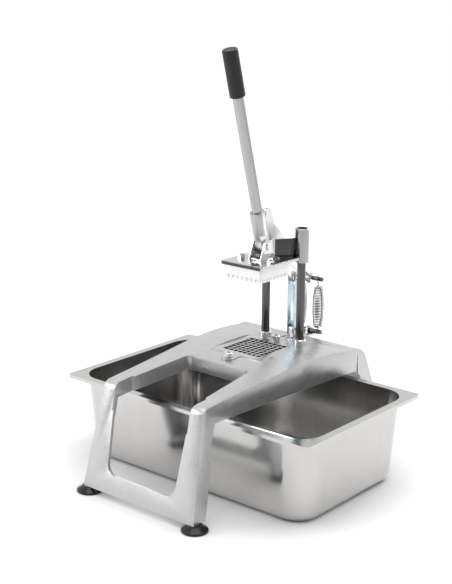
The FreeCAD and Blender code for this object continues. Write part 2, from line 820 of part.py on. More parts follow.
# Lever casting: socket, hub, back rib and one web that reaches the link eye and the spring bar
def leverCasting():
    hub = acrossX(pivotY, pivotZ, hubHalf, hubRadius)
    socketBase = pivot + leverUp * socketStart
    socket = rod(socketBase, leverUp, socketEnd - socketStart, socketRadius)
    shoulderPoints = [
        pivot + V(0, -hubRadius, 0), pivot + V(0, hubRadius, 0),
        socketBase + yAxis * (socketRadius * socketNeckShare), socketBase - yAxis * (socketRadius * socketNeckShare)]
    shoulder = polygonSolid([V(-socketNeckHalf, q.y, q.z) for q in shoulderPoints], xAxis * (2 * socketNeckHalf))
    outline = [
        (pivotY + 6.0, pivotZ + 63.0), (pivotY + 16.0, pivotZ + 63.0), (pivotY + 28.0, pivotZ + 33.0),
        (pivotY + 41.0, pivotZ + 21.0), (pivotY + 57.0, pivotZ + 4.0), (linkEyeY + 28.0, linkEyeZ + 21.5),
        (armEndY + 7.0, armEndZ + 7.0), (armEndY + 7.0, armEndZ - 10.0), (armEndY - 6.0, armEndZ - 10.0),
        (armEndY - 9.0, armEndZ + 8.0), (linkEyeY + 18.0, linkEyeZ + 11.0), (linkEyeY + 10.5, linkEyeZ - 2.0),
        (linkEyeY - 3.0, linkEyeZ - 12.5), (linkEyeY - 14.0, linkEyeZ + 0.5), (pivotY + 6.0, pivotZ - 13.0),
        (pivotY - 6.0, pivotZ + 12.0)]
    radii = [1.5, 6.0, 12.0, 9.0, 9.0, 0, 2.5, 3.0, 3.0, 9.0, 6.0, 6.0, 8.0, 8.0, 8.0, 6.0]
    web = roundedSolid([V(-webHalf, y, z) for y, z in outline], radii, xAxis * (2 * webHalf))
    body = hub.fuse(socket).fuse(shoulder).fuse(web)
    body = body.fuse(acrossX(linkEyeY, linkEyeZ, linkHalf - linkSheet - eyeGap, eyeRadius))
    body = body.fuse(acrossX(armEndY, armEndZ, armEndHalf, armEndRadius)).removeSplitter()
    body = body.cut(acrossX(pivotY, pivotZ, 2 * spare, pivotRadius + runningGap))
    body = body.cut(acrossX(linkEyeY, linkEyeZ, 2 * spare, linkPinRadius + openPivotGap))
    body = body.cut(acrossX(armEndY, armEndZ, 2 * spare, crossbarRadius))
    bottom = pivot + leverUp * (socketEnd - tubeInsert)
    return body.cut(rod(bottom, leverUp, tubeInsert + 5, tubeRadius))


def leverTube():
    start = pivot + leverUp * (socketEnd - tubeInsert)
    return tube(start, leverUp, tubeEnd - (socketEnd - tubeInsert), tubeRadius, tubeRadius - tubeWall)


# Moulded grip with rounded ends, closed at its top
def handGrip():
    start = pivot + leverUp * gripStart
    length = gripEnd - gripStart
    body = rod(start, leverUp, length, gripRadius)
    ends = [edge for edge in body.Edges if isinstance(edge.Curve, Part.Circle)]
    body = body.makeFillet(gripEdgeRound, ends)
    return body.cut(rod(start - leverUp, leverUp, tubeEnd - gripStart + runPast, tubeRadius))


# True for the short edge across one sheet at a free corner of a link flange
def isFlangeCorner(edge, backY, low, high):
    bounds = edge.BoundBox
    across = abs(bounds.XLength - linkSheet) < 0.1 * linkSheet and bounds.DiagonalLength < 1.1 * linkSheet
    atEnd = min(abs(bounds.ZMin - low), abs(bounds.ZMin - high)) < 0.01
    return across and atEnd and abs(bounds.YMin - backY) < 0.01


# Bent channel link: web to the front with arched ends, two flanges pointing back
def linkChannel():
    low = linkFootZ - linkEndReach
    high = linkEyeZ + linkEndReach
    backY = linkFrontY + linkDepth
    body = box(-linkHalf, linkHalf, linkFrontY, backY, low, high)
    body = body.cut(box(-linkHalf + linkSheet, linkHalf - linkSheet, linkFrontY + linkSheet, backY + runPast,
                        low - runPast, high + runPast))
    arch = linkHalf - linkSheet
    for z, reach in ((linkFootZ, lowerArchReach), (linkEyeZ, -upperArchReach)):
        crown = z + reach
        inner, outer = sorted((crown, z - math.copysign(spare, reach)))
        body = body.cut(box(-arch, arch, linkFrontY - 1, linkFrontY + linkSheet + freeGap, inner, outer))
        body = body.cut(rod(V(0, linkFrontY - runPast, crown), yAxis, linkSheet + freeGap + runPast, arch))
    body = body.makeFillet(linkCorner, [edge for edge in body.Edges if isFlangeCorner(edge, backY, low, high)])
    for y, z in ((linkFootY, linkFootZ), (linkEyeY, linkEyeZ)):
        body = body.cut(acrossX(y, z, 2 * spare, linkPinRadius))
    return body


# Lower link pin right through the lug, with two heads
def lowerLinkPin():
    pin = acrossX(linkFootY, linkFootZ, linkHalf, linkPinRadius)
    for side in (-1, 1):
        pin = pin.fuse(rod(V(side * linkHalf, linkFootY, linkFootZ), xAxis * side, linkPinHeadHeight,
                           linkPinHeadRadius))
    return pin.removeSplitter()


# Upper link pins: two short rivets, because this pivot of the loop is left open
def upperLinkPins():
    pins = []
    for side in (-1, 1):
        start = V(side * (linkHalf - linkSheet), linkEyeY, linkEyeZ)
        shank = rod(start, xAxis * side, linkSheet, linkPinRadius)
        head = rod(V(side * linkHalf, linkEyeY, linkEyeZ), xAxis * side, linkPinHeadHeight, linkPinHeadRadius)
        pins.append(shank.fuse(head).removeSplitter())
    return Part.makeCompound(pins)


# Base strip with the lug for the link and the ear for the lower spring bar
def rearLug():
    base = lugSeat
    frontY = linkFootY - lugBase / 2.0
    strip = box(-lugStripHalf, lugStripHalf, frontY + freeGap, earBackY() - freeGap, base,
                base + lugBaseThickness)
    lug = box(-lugHalf, lugHalf, linkFootY - lugRound, linkFootY + lugRound, base, linkFootZ)
    lug = lug.fuse(acrossX(linkFootY, linkFootZ, lugHalf, lugRound))
    earHalf = earThickness / 2
    ear = box(-earHalf, earHalf, armEndY - earHalfWidth, armEndY + earHalfWidth - earBackTrim, base, lowerBarZ)
    ear = ear.fuse(acrossX(armEndY, lowerBarZ, earHalf, earRound))
    body = strip.fuse(lug).fuse(ear)
    body = body.cut(acrossX(linkFootY, linkFootZ, 2 * spare, linkPinRadius + runningGap))
    body = body.cut(acrossX(armEndY, lowerBarZ, 2 * spare, crossbarRadius))
    for y in lugScrewPlaces():
        body = body.cut(rod(V(0, y, base - 1), zAxis, spare, screwRadius))
    return body.removeSplitter()


def lugScrew(y):
    head = lugSeat + lugBaseThickness
    return screw(0, y, head, lugScrewLength, screwRadius, lugScrewHeadRadius, screwHeadHeight, False)


# Crossbar with a turned groove at each spring
def crossbar(z):
    bar = acrossX(armEndY, z, crossbarHalf, crossbarRadius)
    for side in (-1, 1):
        start = V(side * springX - grooveHalf, armEndY, z)
        groove = tube(start, xAxis, 2 * grooveHalf, crossbarRadius + runPast, crossbarRadius - grooveDepth)
        bar = bar.cut(groove)
    return bar


# Height at which the coil ends, just under the shank of its upper hook
def coilTopZ():
    return armEndZ - hookRadius - hookShank - hookSeatGap - springWire / 2.0


# Close-wound extension spring, closed round the lower crossbar and ending under its upper hook
def returnSpring(side):
    x = side * springX
    wire = springWire / 2.0
    low = lowerBarZ + ringRadius + ringNeck
    high = coilTopZ()
    helix = Part.makeHelix(springPitch, high - low, springMeanRadius)
    section = Part.Wire(Part.Circle(V(springMeanRadius, 0, 0), yAxis, wire).toShape())
    body = Part.Wire(helix.Edges).makePipeShell([section], True, True)
    body.translate(V(x, armEndY, low))
    body = body.fuse(rod(V(x, armEndY, lowerBarZ + ringRadius), zAxis, ringNeck + wire, wire))
    for z in (low, high):
        body = body.fuse(rod(V(x, armEndY, z), xAxis, springMeanRadius, wire))
    return body.fuse(Part.makeTorus(ringRadius, wire, V(x, armEndY, lowerBarZ), xAxis))


# Open hook that carries the top of a spring, with its mouth to the rear so that the bar can leave it
def springHook(side):
    centre = V(side * springX, armEndY, armEndZ)
    wire = springWire / 2.0
    foot = centre - zAxis * hookRadius
    section = Part.Wire(Part.Circle(foot, yAxis, wire).toShape())
    arc = Part.Face(section).revolve(centre, -xAxis, 180.0 + hookTipDeg)
    shank = rod(foot - zAxis * hookShank, zAxis, hookShank, wire)
    return arc.fuse(shank).fuse(Part.makeSphere(wire, foot)).removeSplitter()


# Full-size pan: rolled rim, flat flange, tapered walls and rounded floor
def panSolid(inset, floorZ, topZ):
    halfX = panLength / 2 - panRim - inset
    halfY = panWidth / 2 - panRim - inset
    top = roundedEdges([V(-halfX, -halfY, topZ), V(halfX, -halfY, topZ), V(halfX, halfY, topZ),
                        V(-halfX, halfY, topZ)], [panCorner - inset] * 4)
    lowX = halfX - panWallTaper
    lowY = halfY - panWallTaper
    bottom = roundedEdges([V(-lowX, -lowY, floorZ), V(lowX, -lowY, floorZ), V(lowX, lowY, floorZ),
                           V(-lowX, lowY, floorZ)], [panCorner - inset] * 4)
    loft = Part.makeLoft([Part.Wire(bottom), Part.Wire(top)], True, True)
    floorEdges = [edge for edge in loft.Edges if abs(edge.BoundBox.ZMax - floorZ) < 0.01]
    return loft.makeFillet(panFloorRound - inset, floorEdges)


def pan():
    outer = panSolid(0.0, 0.0, panHeight)
    corners = ((-1, -1), (1, -1), (1, 1), (-1, 1))
    underZ = panHeight - panRimDrop
    rimPoints = [V(x * panLength / 2.0, y * panWidth / 2.0, underZ) for x, y in corners]
    rimBlock = roundedSolid(rimPoints, [panRimCorner] * 4, zAxis * panRimDrop)
    under = [V(q.x - math.copysign(panSheet, q.x), q.y - math.copysign(panSheet, q.y), q.z) for q in rimPoints]
    hollow = roundedSolid(under, [panRimCorner - panSheet] * 4, zAxis * (panRimDrop - panSheet))
    rim = rimBlock.cut(hollow)
    cavity = panSolid(panSheet, panSheet, panHeight)
    return rim.fuse(outer).cut(cavity).removeSplitter()


def nodes():
    made = {
        "frame_casting": frameCasting(),
        "knife_frame": knifeFrame(),
        "knife_blades_long": bladeSet(True),
        "knife_blades_cross": bladeSet(False),
        "column_left": column(-1),
        "column_right": column(1),
        "column_collars": Part.makeCompound([collar(-1), collar(1)]),
        "column_screws": Part.makeCompound([columnScrew(-1), columnScrew(1)]),
        "sleeve_left": sleeve(-1),
        "sleeve_right": sleeve(1),
        "sleeve_bushes": bushes(),
        "plunger_block": plungerBlock(),
        "head_plate": headPlate(),
        "dome_nuts": Part.makeCompound([domeNut(-boltX), domeNut(boltX)]),
        "plunger_studs": Part.makeCompound([plungerStud(-boltX), plungerStud(boltX)]),
        "head_bracket": headBracket(),
        "lever_pivot_pin": pivotPin(),
        "lever_casting": leverCasting(),
        "lever_tube": leverTube(),
        "hand_grip": handGrip(),
        "link_channel": linkChannel(),
        "link_pin_lower": lowerLinkPin(),
        "link_pins_upper": upperLinkPins(),
        "rear_lug": rearLug(),
        "lug_screws": Part.makeCompound([lugScrew(y) for y in lugScrewPlaces()]),
        "spring_bar_lower": crossbar(lowerBarZ),
        "spring_bar_upper": crossbar(armEndZ),
        "return_spring_left": returnSpring(-1),
        "return_spring_right": returnSpring(1),
        "spring_hooks": Part.makeCompound([springHook(-1), springHook(1)]),
        "gastronorm_pan": pan(),
    }
    for name, y in studPlaces().items():
        made["knife_stud_" + name] = stud(y)
        made["knife_nut_" + name] = handNut(y)
    screws = []
    for name, place in footPlaces().items():
        made["foot_" + name] = foot(*place)
        screws.append(footScrew(*place))
    made["foot_screws"] = Part.makeCompound(screws)
    return made


os.makedirs("parts", exist_ok=True)
for nodeName, shape in nodes().items():
    shape.exportStep("parts/" + nodeName + ".step")
    bounds = shape.BoundBox
    print(nodeName, len(shape.Solids), shape.isValid(), round(shape.Volume / 1000.0, 2),
          [round(value, 1) for value in (bounds.XMin, bounds.XMax, bounds.YMin, bounds.YMax,
                                         bounds.ZMin, bounds.ZMax)])
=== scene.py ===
import bmesh
import bpy
import json
import math
import numpy as np
from mathutils import Matrix, Vector

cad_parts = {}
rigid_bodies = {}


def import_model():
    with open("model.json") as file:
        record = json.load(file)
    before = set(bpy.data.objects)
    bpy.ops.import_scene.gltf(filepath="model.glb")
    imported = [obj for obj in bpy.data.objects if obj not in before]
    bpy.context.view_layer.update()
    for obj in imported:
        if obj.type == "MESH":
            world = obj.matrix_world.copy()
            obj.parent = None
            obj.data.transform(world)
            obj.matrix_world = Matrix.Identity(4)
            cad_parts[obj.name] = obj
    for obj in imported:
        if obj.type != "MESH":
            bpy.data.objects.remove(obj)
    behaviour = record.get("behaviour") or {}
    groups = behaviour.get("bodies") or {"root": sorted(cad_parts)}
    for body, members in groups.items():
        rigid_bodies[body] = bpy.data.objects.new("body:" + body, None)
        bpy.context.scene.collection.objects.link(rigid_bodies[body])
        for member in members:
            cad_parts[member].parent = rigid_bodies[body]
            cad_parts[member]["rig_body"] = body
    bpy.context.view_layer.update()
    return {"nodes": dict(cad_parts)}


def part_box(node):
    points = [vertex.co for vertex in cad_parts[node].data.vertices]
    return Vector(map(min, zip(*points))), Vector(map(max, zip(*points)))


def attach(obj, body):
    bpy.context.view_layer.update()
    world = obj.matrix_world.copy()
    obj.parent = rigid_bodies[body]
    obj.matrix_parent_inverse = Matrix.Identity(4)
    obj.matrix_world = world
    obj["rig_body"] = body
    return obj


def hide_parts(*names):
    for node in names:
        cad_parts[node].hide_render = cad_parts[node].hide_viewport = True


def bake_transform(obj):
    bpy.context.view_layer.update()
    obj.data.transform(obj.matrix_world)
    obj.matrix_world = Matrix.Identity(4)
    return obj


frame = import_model()
nodes = frame["nodes"]
scene = bpy.context.scene
scene.view_settings.view_transform = "Standard"
print("frame loaded:", len(nodes), "nodes")


# Camera: the product shot is taken from the operator's right, slightly above
cameraSettings = {
    "imageHeight": 584,
    "focalPixels": 1250.0,
    "place": (1.3020, -1.6033, 0.8714),
    "turnLeft": 39.826,
    "lookDown": 15.062,
    "roll": 0.5235,
    "sensor": 36.0,
    "farthest": 50.0,
}


def makeCamera(settings):
    turn = math.radians(settings["turnLeft"])
    tilt = math.radians(settings["lookDown"])
    roll = math.radians(settings["roll"])
    ahead = Vector((-math.sin(turn) * math.cos(tilt), math.cos(turn) * math.cos(tilt), -math.sin(tilt)))
    level = Vector((math.cos(turn), math.sin(turn), 0.0))
    upward = level.cross(ahead)
    right = level * math.cos(roll) + upward * math.sin(roll)
    top = upward * math.cos(roll) - level * math.sin(roll)
    data = bpy.data.cameras.new("productCamera")
    data.sensor_width = settings["sensor"]
    data.lens = settings["focalPixels"] / settings["imageHeight"] * settings["sensor"]
    data.clip_end = settings["farthest"]
    camera = bpy.data.objects.new("productCamera", data)
    matrix = Matrix((right, top, -ahead)).transposed().to_4x4()
    matrix.translation = Vector(settings["place"])
    camera.matrix_world = matrix
    scene.collection.objects.link(camera)
    scene.camera = camera


makeCamera(cameraSettings)
print("camera placed")


# Places of the colour sockets in a Mix node that is set to colours
mixFirst = 6
mixSecond = 7
mixResult = 2


# Small helpers for shader nodes
def newMaterial(name):
    material = bpy.data.materials.new(name)
    material.use_nodes = True
    tree = material.node_tree
    tree.nodes.clear()
    output = tree.nodes.new("ShaderNodeOutputMaterial")
    shader = tree.nodes.new("ShaderNodeBsdfPrincipled")
    tree.links.new(shader.outputs["BSDF"], output.inputs["Surface"])
    return material, tree, shader


def addNode(tree, kind, **settings):
    node = tree.nodes.new(kind)
    for key, value in settings.items():
        if key in node.inputs:
            node.inputs[key].default_value = value
        else:
            setattr(node, key, value)
    return node


def joinSockets(tree, *pairs):
    for source, target in pairs:
        tree.links.new(source, target)


def newGroup(name, inputs, outputs):
    group = bpy.data.node_groups.new(name, "ShaderNodeTree")
    for label, kind in inputs:
        group.interface.new_socket(name=label, in_out="INPUT", socket_type=kind)
    for label, kind in outputs:
        group.interface.new_socket(name=label, in_out="OUTPUT", socket_type=kind)
    start = group.nodes.new("NodeGroupInput")
    end = group.nodes.new("NodeGroupOutput")
    return group, start, end


# Group of a finish: its own measure of the pattern, two colours, two limits of roughness and the bump
def newFinishGroup(name, measure, kind):
    return newGroup(
        name,
        [(measure, kind), ("Colour A", "NodeSocketColor"), ("Colour B", "NodeSocketColor"),
         ("Rough Low", "NodeSocketFloat"), ("Rough High", "NodeSocketFloat"), ("Bump", "NodeSocketFloat")],
        [("Colour", "NodeSocketColor"), ("Roughness", "NodeSocketFloat"), ("Normal", "NodeSocketVector")])


# What a finish group puts out: one pattern blends the colours and the roughness, and another is the bump
def shadeFinishGroup(group, start, end, pattern, relief, look):
    colour = addNode(group, "ShaderNodeMix", data_type="RGBA")
    rough = addNode(group, "ShaderNodeMapRange")
    rough.inputs["From Min"].default_value = look["noiseLow"]
    rough.inputs["From Max"].default_value = look["noiseHigh"]
    bump = addNode(group, "ShaderNodeBump", Distance=look["bumpDepth"])
    joinSockets(
        group,
        (pattern, colour.inputs["Factor"]), (pattern, rough.inputs["Value"]),
        (relief, bump.inputs["Height"]), (start.outputs["Bump"], bump.inputs["Strength"]),
        (start.outputs["Colour A"], colour.inputs[mixFirst]),
        (start.outputs["Colour B"], colour.inputs[mixSecond]),
        (start.outputs["Rough Low"], rough.inputs["To Min"]),
        (start.outputs["Rough High"], rough.inputs["To Max"]),
        (colour.outputs[mixResult], end.inputs["Colour"]),
        (rough.outputs["Result"], end.inputs["Roughness"]),
        (bump.outputs["Normal"], end.inputs["Normal"]))


# Fine streaks left by a brush or belt: noise stretched along one direction of the object coordinates
streakLook = {
    "streakDetail": 4.0,
    "streakRoughness": 0.6,
    "streakShare": 0.65,
    "cloudScale": 14.0,
    "cloudDetail": 3.0,
    "cloudRoughness": 0.5,
    "cloudShare": 0.35,
    "noiseLow": 0.3,
    "noiseHigh": 0.7,
    "bumpDepth": 0.0004,
}


def makeBrushGroup():
    group, start, end = newFinishGroup("brushedStreaks", "Stretch", "NodeSocketVector")
    place = addNode(group, "ShaderNodeTexCoord")
    scale = addNode(group, "ShaderNodeVectorMath", operation="MULTIPLY")
    streaks = addNode(group, "ShaderNodeTexNoise", Scale=1.0, Detail=streakLook["streakDetail"],
                      Roughness=streakLook["streakRoughness"])
    clouds = addNode(group, "ShaderNodeTexNoise", Scale=streakLook["cloudScale"],
                     Detail=streakLook["cloudDetail"], Roughness=streakLook["cloudRoughness"])
    blend = addNode(group, "ShaderNodeMath", operation="MULTIPLY_ADD")
    blend.inputs[1].default_value = streakLook["streakShare"]
    share = addNode(group, "ShaderNodeMath", operation="MULTIPLY")
    share.inputs[1].default_value = streakLook["cloudShare"]
    joinSockets(
        group,
        (place.outputs["Object"], scale.inputs[0]), (start.outputs["Stretch"], scale.inputs[1]),
        (scale.outputs["Vector"], streaks.inputs["Vector"]),
        (place.outputs["Object"], clouds.inputs["Vector"]),
        (clouds.outputs["Fac"], share.inputs[0]), (streaks.outputs["Fac"], blend.inputs[0]),
        (share.outputs["Value"], blend.inputs[2]))
    shadeFinishGroup(group, start, end, blend.outputs["Value"], streaks.outputs["Fac"], streakLook)
    return group


# Grain of a blasted or moulded skin: two sizes of noise that shade the colour and roughen the surface
grainLook = {
    "fineDetail": 2.0,
    "fineRoughness": 0.55,
    "cloudScale": 22.0,
    "cloudDetail": 4.0,
    "cloudRoughness": 0.6,
    "noiseLow": 0.3,
    "noiseHigh": 0.7,
    "bumpDepth": 0.0005,
}


def makeGrainGroup():
    group, start, end = newFinishGroup("skinGrain", "Size", "NodeSocketFloat")
    place = addNode(group, "ShaderNodeTexCoord")
    fine = addNode(group, "ShaderNodeTexNoise", Detail=grainLook["fineDetail"],
                   Roughness=grainLook["fineRoughness"])
    clouds = addNode(group, "ShaderNodeTexNoise", Scale=grainLook["cloudScale"],
                     Detail=grainLook["cloudDetail"], Roughness=grainLook["cloudRoughness"])
    average = addNode(group, "ShaderNodeMath", operation="ADD")
    half = addNode(group, "ShaderNodeMath", operation="MULTIPLY")
    half.inputs[1].default_value = 0.5
    joinSockets(
        group,
        (place.outputs["Object"], fine.inputs["Vector"]), (start.outputs["Size"], fine.inputs["Scale"]),
        (place.outputs["Object"], clouds.inputs["Vector"]), (fine.outputs["Fac"], average.inputs[0]),
        (clouds.outputs["Fac"], average.inputs[1]), (average.outputs["Value"], half.inputs[0]))
    shadeFinishGroup(group, start, end, half.outputs["Value"], fine.outputs["Fac"], grainLook)
    return group


brushGroup = makeBrushGroup()
grainGroup = makeGrainGroup()


def grey(value, warm=0.0):
    return (value + warm, value, value - warm, 1.0)


# Material from one of the two groups above, with the settings of one look
def makeFinish(name, look, group, metallic):
    material, tree, shader = newMaterial(name)
    skin = addNode(tree, "ShaderNodeGroup")
    skin.node_tree = group
    if "stretch" in look:
        skin.inputs["Stretch"].default_value = look["stretch"]
    else:
        skin.inputs["Size"].default_value = look["size"]
        shader.inputs["Specular IOR Level"].default_value = look.get("specular", 0.5)
    skin.inputs["Colour A"].default_value = look["dark"]
    skin.inputs["Colour B"].default_value = look["light"]
    skin.inputs["Rough Low"].default_value = look["rough"][0]
    skin.inputs["Rough High"].default_value = look["rough"][1]
    skin.inputs["Bump"].default_value = look["bump"]
    shader.inputs["Metallic"].default_value = look.get("metallic", metallic)
    joinSockets(tree, (skin.outputs["Colour"], shader.inputs["Base Color"]),
                (skin.outputs["Roughness"], shader.inputs["Roughness"]),
                (skin.outputs["Normal"], shader.inputs["Normal"]))
    return material


# Mask that grows from 0 to 1 between two values of a dot product with a direction. With the Object output
# it tells where a point lies, and with the Normal output how far the piece's own face turns that way
def makeMaskGroup(name, output):
    group, start, end = newGroup(
        name,
        [("Direction", "NodeSocketVector"), ("Low", "NodeSocketFloat"), ("High", "NodeSocketFloat")],
        [("Mask", "NodeSocketFloat")])
    place = addNode(group, "ShaderNodeTexCoord")
    along = addNode(group, "ShaderNodeVectorMath", operation="DOT_PRODUCT")
    spread = addNode(group, "ShaderNodeMapRange")
    joinSockets(
        group,
        (place.outputs[output], along.inputs[0]), (start.outputs["Direction"], along.inputs[1]),
        (along.outputs["Value"], spread.inputs["Value"]), (start.outputs["Low"], spread.inputs["From Min"]),
        (start.outputs["High"], spread.inputs["From Max"]), (spread.outputs["Result"], end.inputs["Mask"]))
    return group


placeMaskGroup = makeMaskGroup("placeMask", "Object")
facingMaskGroup = makeMaskGroup("facingMask", "Normal")


# Second colour laid over part of a piece, used here for painted light and shade: past a line along a
# direction, or on faces turned that way
def shadePart(material, maskGroup, direction, low, high, colour, blendType="MULTIPLY"):
    tree = material.node_tree
    shader = next(node for node in tree.nodes if node.type == "BSDF_PRINCIPLED")
    source = shader.inputs["Base Color"].links[0].from_socket
    mask = addNode(tree, "ShaderNodeGroup")
    mask.node_tree = maskGroup
    mask.inputs["Direction"].default_value = direction
    mask.inputs["Low"].default_value = low
    mask.inputs["High"].default_value = high
    tint = addNode(tree, "ShaderNodeMix", data_type="RGBA", blend_type=blendType)
    tint.inputs[mixSecond].default_value = colour
    joinSockets(tree, (mask.outputs["Mask"], tint.inputs["Factor"]), (source, tint.inputs[mixFirst]),
                (tint.outputs[mixResult], shader.inputs["Base Color"]))


# Noise scales per metre: small along the brush, large across it
alongZ = (900.0, 900.0, 12.0)
alongX = (14.0, 900.0, 900.0)
alongTube = (700.0, 700.0, 60.0)
alongWall = (60.0, 60.0, 6.0)

brushedFinishes = {
    "panSteel": {"stretch": alongWall, "dark": grey(0.47, 0.006), "light": grey(0.56, 0.006),
                 "rough": (0.12, 0.18), "bump": 0.02},
    # Column steel darkened to stand for the dark reflections on polished columns: painted dark reflection
    "columnSteelPaintedDarkReflection": {"stretch": alongZ, "dark": grey(0.07, 0.003), "light": grey(0.12, 0.003),
                    "rough": (0.10, 0.18), "bump": 0.02},
    # Sleeve steel darkened to stand for dark reflections on the sleeves: painted dark reflection
    "sleeveSteelPaintedDarkReflection": {"stretch": alongZ, "dark": grey(0.30), "light": grey(0.40), "rough": (0.06, 0.14),
                    "bump": 0.02},
    "brightSteel": {"stretch": alongX, "dark": grey(0.66), "light": grey(0.80), "rough": (0.12, 0.20),
                    "bump": 0.03},
    "satinSteel": {"stretch": alongX, "dark": grey(0.50), "light": grey(0.60), "rough": (0.24, 0.36),
                   "bump": 0.05},
    # Blade steel kept near black for the shade inside the grid's cells: painted shade, with a painted
    # highlight on the upward faces
    "bladeSteelPaintedShadeAndHighlight": {"stretch": alongX, "dark": grey(0.05), "light": grey(0.09), "rough": (0.35, 0.50),
                   "bump": 0.03, "metallic": 0.35},
    "plateSteel": {"stretch": alongX, "dark": grey(0.46), "light": grey(0.62), "rough": (0.18, 0.28),
                   "bump": 0.05},
    "chromeNut": {"stretch": alongX, "dark": grey(0.62), "light": grey(0.70), "rough": (0.04, 0.08),
                  "bump": 0.01},
    "bracketSteel": {"stretch": alongZ, "dark": grey(0.72), "light": grey(0.82), "rough": (0.12, 0.20),
                     "bump": 0.03},
    "tubeSteel": {"stretch": alongTube, "dark": grey(0.34), "light": grey(0.45),
                  "rough": (0.24, 0.34), "bump": 0.04},
    # Blue tint on the link channel's steel stands for a reflection: painted blue reflection
    "linkSteelPaintedBlueReflection": {"stretch": alongZ, "dark": (0.40, 0.50, 0.54, 1.0), "light": (0.50, 0.60, 0.64, 1.0),
                  "rough": (0.14, 0.24), "bump": 0.03},
    "darkSteel": {"stretch": alongX, "dark": grey(0.08), "light": grey(0.15), "rough": (0.22, 0.32),
                  "bump": 0.04},
    "springSteel": {"stretch": alongX, "dark": grey(0.20), "light": grey(0.32), "rough": (0.16, 0.26),
                    "bump": 0.02},
}

grainyFinishes = {
    "castAluminium": {"size": 1000.0, "dark": grey(0.42), "light": grey(0.60), "rough": (0.24, 0.36),
                      "bump": 0.34, "metallic": 0.80},
    "zincSteel": {"size": 1600.0, "dark": grey(0.50), "light": grey(0.62), "rough": (0.30, 0.40),
                  "bump": 0.05, "metallic": 1.0},
    "bushPlastic": {"size": 1500.0, "dark": grey(0.10), "light": grey(0.16), "rough": (0.45, 0.55),
                    "bump": 0.05},
    "whitePlastic": {"size": 1200.0, "dark": grey(0.88), "light": grey(0.95), "rough": (0.38, 0.48),
                     "bump": 0.04},
    "leverMetal": {"size": 900.0, "dark": grey(0.36), "light": grey(0.50), "rough": (0.28, 0.38),
                   "bump": 0.10, "metallic": 0.9},
    "blackGrip": {"size": 700.0, "dark": grey(0.005), "light": grey(0.014), "rough": (0.30, 0.45),
                  "bump": 0.30, "specular": 0.35},
    "blackRubber": {"size": 900.0, "dark": grey(0.004), "light": grey(0.010), "rough": (0.14, 0.26),
                    "bump": 0.15, "specular": 0.35},
}

finishes = {name: makeFinish(name, look, brushGroup, 1.0) for name, look in brushedFinishes.items()}
finishes.update({name: makeFinish(name, look, grainGroup, 0.0) for name, look in grainyFinishes.items()})

# Painted light and shade on parts of a finish: painted shade on the plate's front edge and a painted dark
# reflection on the bracket's wings behind its cheeks, as two distances in metres and the shade, and a
# painted highlight on the upward faces of the blades and on the side of the lever's web, as two shares of
# the face normal and the shade
partShades = {
    "plateEdgePaintedShade": (0.0003, 0.0010, 0.12),
    "bracketWingsPaintedDarkReflection": (0.0085, 0.0095, 0.11),
    "bladeTopsPaintedHighlight": (0.5, 0.8, 0.95),
    "leverWebPaintedHighlight": (0.93, 0.98, 0.92),
}
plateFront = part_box("head_plate")[0].y
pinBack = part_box("lever_pivot_pin")[1].y
# Painted shade: the plate's front edge is darkened within about a millimetre of its front face
near, deep, shade = partShades["plateEdgePaintedShade"]
shadePart(finishes["plateSteel"], placeMaskGroup, (0.0, -1.0, 0.0), -plateFront - deep, -plateFront - near,
          grey(shade))
# Painted dark reflection: the bracket's wings behind the cheeks are darkened past a line behind the pivot
# pin
near, deep, shade = partShades["bracketWingsPaintedDarkReflection"]
shadePart(finishes["bracketSteel"], placeMaskGroup, (0.0, 1.0, 0.0), pinBack + near, pinBack + deep,
          grey(shade))
# Painted highlight: blade faces turned upward are mixed towards white
low, high, shade = partShades["bladeTopsPaintedHighlight"]
shadePart(finishes["bladeSteelPaintedShadeAndHighlight"], facingMaskGroup, (0.0, 0.0, 1.0), low, high, grey(shade), "MIX")
# Painted highlight: faces of the lever casting turned towards +x are mixed towards white
low, high, shade = partShades["leverWebPaintedHighlight"]
shadePart(finishes["leverMetal"], facingMaskGroup, (1.0, 0.0, 0.0), low, high, grey(shade), "MIX")
print("finishes made")


nodeFinish = {
    "frame_casting": "castAluminium", "knife_frame": "satinSteel", "knife_blades_long": "bladeSteelPaintedShadeAndHighlight",
    "knife_blades_cross": "bladeSteelPaintedShadeAndHighlight", "column_left": "columnSteelPaintedDarkReflection", "column_right": "columnSteelPaintedDarkReflection",
    "column_collars": "brightSteel", "column_screws": "zincSteel", "sleeve_left": "sleeveSteelPaintedDarkReflection",
    "sleeve_right": "sleeveSteelPaintedDarkReflection", "sleeve_bushes": "bushPlastic", "plunger_block": "whitePlastic",
    "head_plate": "plateSteel", "dome_nuts": "chromeNut", "plunger_studs": "zincSteel",
    "head_bracket": "bracketSteel", "lever_pivot_pin": "brightSteel", "lever_casting": "leverMetal",
    "lever_tube": "tubeSteel", "hand_grip": "blackGrip", "link_channel": "linkSteelPaintedBlueReflection",
    "link_pin_lower": "brightSteel", "link_pins_upper": "brightSteel", "rear_lug": "satinSteel",
    "lug_screws": "zincSteel", "spring_bar_lower": "darkSteel", "spring_bar_upper": "darkSteel",
    "return_spring_left": "springSteel", "return_spring_right": "springSteel", "gastronorm_pan": "panSteel",
    "knife_stud_front": "zincSteel", "knife_stud_rear": "zincSteel", "knife_nut_front": "brightSteel",
    "knife_nut_rear": "brightSteel", "foot_front_left": "blackRubber", "foot_front_right": "blackRubber",
    "foot_rear_left": "blackRubber", "foot_rear_right": "blackRubber", "foot_screws": "zincSteel",
    "spring_hooks": "springSteel",
}


def dressNode(name):
    target = nodes[name]
    target.data.materials.clear()
    target.data.materials.append(finishes[nodeFinish[name]])


for nodeName in nodes:
    dressNode(nodeName)
print("finishes on every node")


